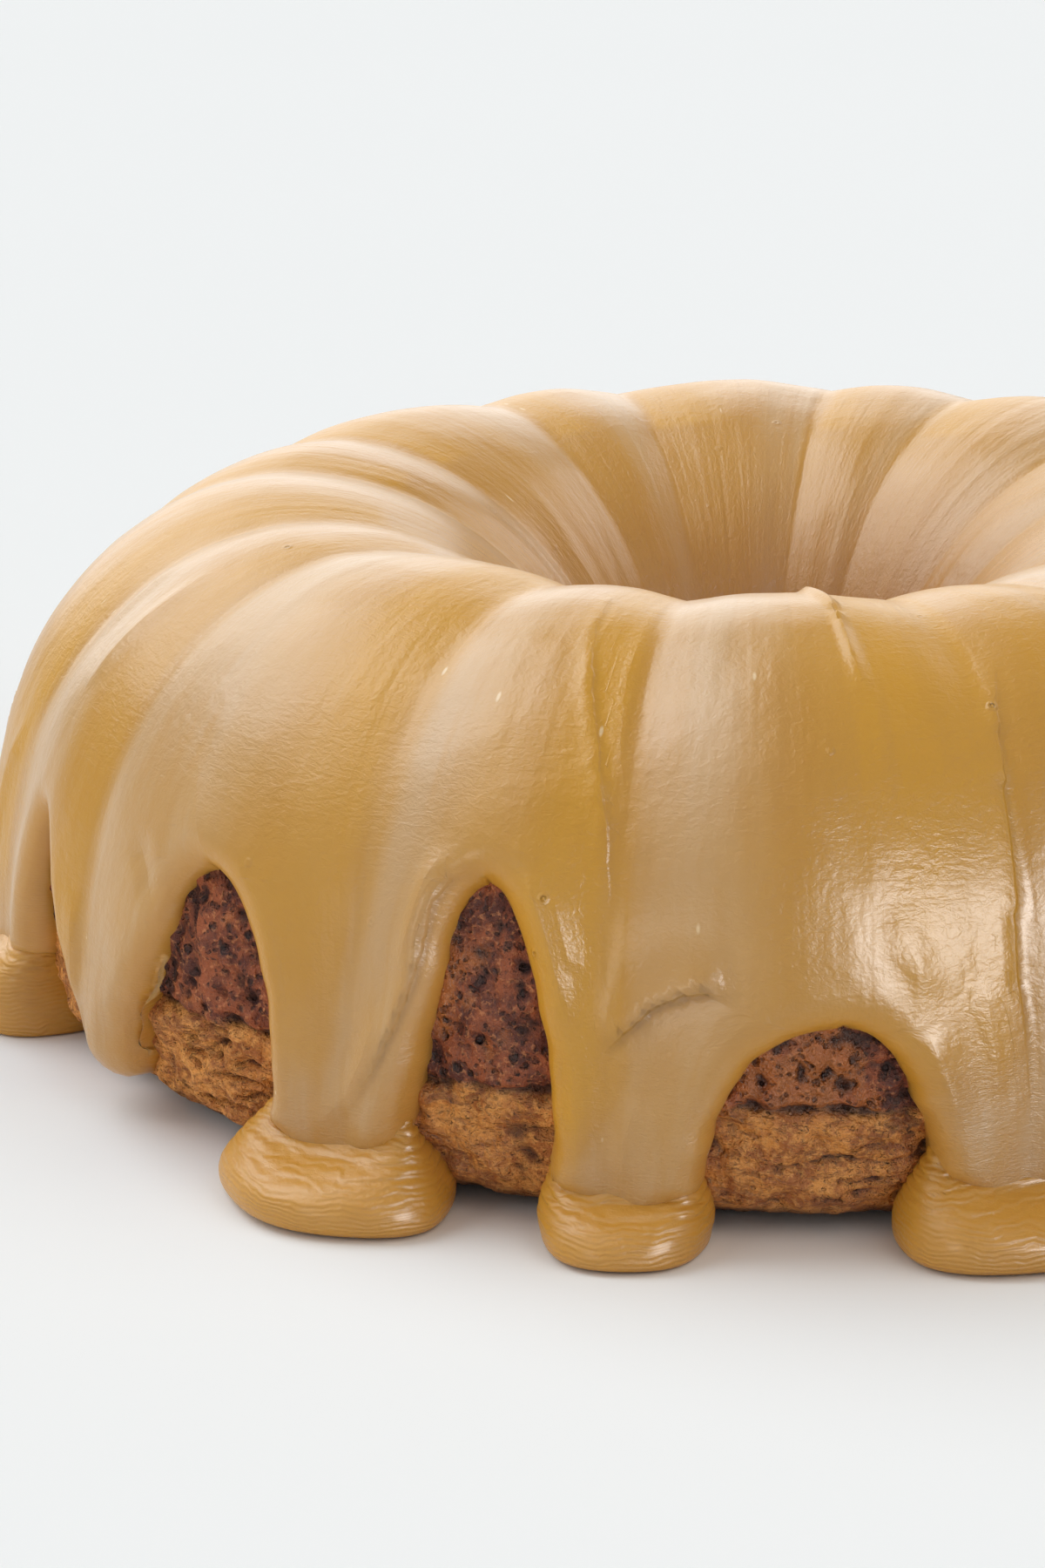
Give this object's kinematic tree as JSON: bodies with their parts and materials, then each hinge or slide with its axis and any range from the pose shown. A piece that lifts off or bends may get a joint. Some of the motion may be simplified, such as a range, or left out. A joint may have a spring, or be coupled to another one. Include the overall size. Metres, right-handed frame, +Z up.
{
  "type": "bundt cake",
  "caption": "Ring-shaped fluted cake with a funnel-shaped centre hole, under a thick poured caramel icing that runs down in drips ending in rounded feet.",
  "frame": {"origin": "centre of the cake's flat base, on the surface it stands on", "axes": "+Z up along the centre hole; -Y towards the side shown, between two arches of the icing's lower edge"},
  "size_m": [0.266, 0.2656, 0.0829],
  "materials": {
    "cake": "baked crust, dark brown above a lighter crumbly band",
    "icing": "set caramel icing, satin"
  },
  "bodies": {
    "root": {"cake": "cake", "icing": "icing"}
  },
  "joints": []
}
